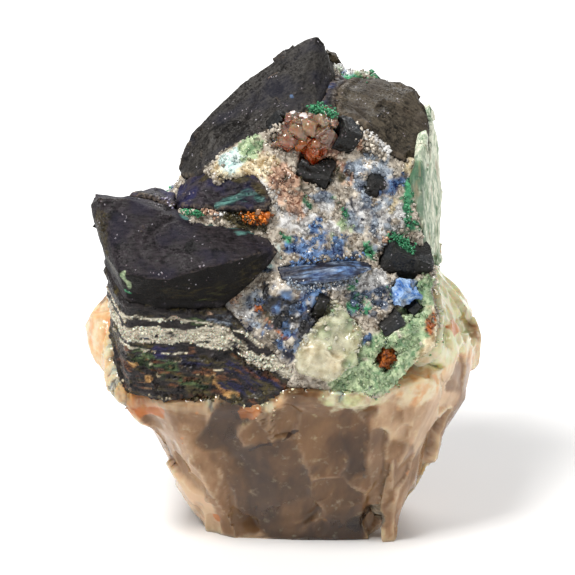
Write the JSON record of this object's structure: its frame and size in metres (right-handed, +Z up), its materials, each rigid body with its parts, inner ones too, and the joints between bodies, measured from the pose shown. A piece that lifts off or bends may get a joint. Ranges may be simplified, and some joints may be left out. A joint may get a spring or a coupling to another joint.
{
  "type": "cuprite specimen",
  "caption": "Free-standing mineral specimen: dark blocky crystals, a red cuprite cluster and a fibrous green vein in a blue, green and white crust on a foot of smoky quartz.",
  "frame": {"origin": "on the flat foot, under the middle of the specimen", "axes": "+Z up, +X to the right and +Y to the back, seen from the front"},
  "size_m": [0.0356, 0.028, 0.0446],
  "materials": {
    "dark_crystal": "dull to submetallic, finely etched, with small sparkles",
    "banded_ore": "granular, in thin bands",
    "cuprite": "glassy, partly see-through",
    "rust": "earthy",
    "azurite": "glassy grains",
    "malachite": "silky, fibrous",
    "milky_quartz": "glassy, cloudy",
    "mineral_crust": "sugary and sparkling",
    "smoky_quartz": "glassy, cloudy, partly see-through"
  },
  "bodies": {
    "root": {"blade_crystal": "dark_crystal", "head_crystal": "dark_crystal", "slab_crystal": "dark_crystal", "saddle_crystal": "dark_crystal", "sliver_crystal": "dark_crystal", "dome_crystal": "dark_crystal", "hump_crystal": "dark_crystal", "banded_block": "banded_ore", "cuprite_cluster": "cuprite", "black_crystal_by_cuprite": "dark_crystal", "black_crystal_under_cuprite": "dark_crystal", "black_crystal_left_of_cuprite": "dark_crystal", "black_crystal_on_right": "dark_crystal", "corner_crystal": "dark_crystal", "black_crystal_below": "dark_crystal", "black_chip_below": "dark_crystal", "vein_crystal": "dark_crystal", "rust_crystal": "rust", "blue_crystal": "azurite", "back_crystal_left": "dark_crystal", "back_crystal_right": "dark_crystal", "back_crystal_low": "dark_crystal", "side_vein": "malachite", "azurite_lens": "azurite", "milky_lump": "milky_quartz", "mineral_crust": "mineral_crust", "quartz_base": "smoky_quartz"}
  },
  "joints": []
}
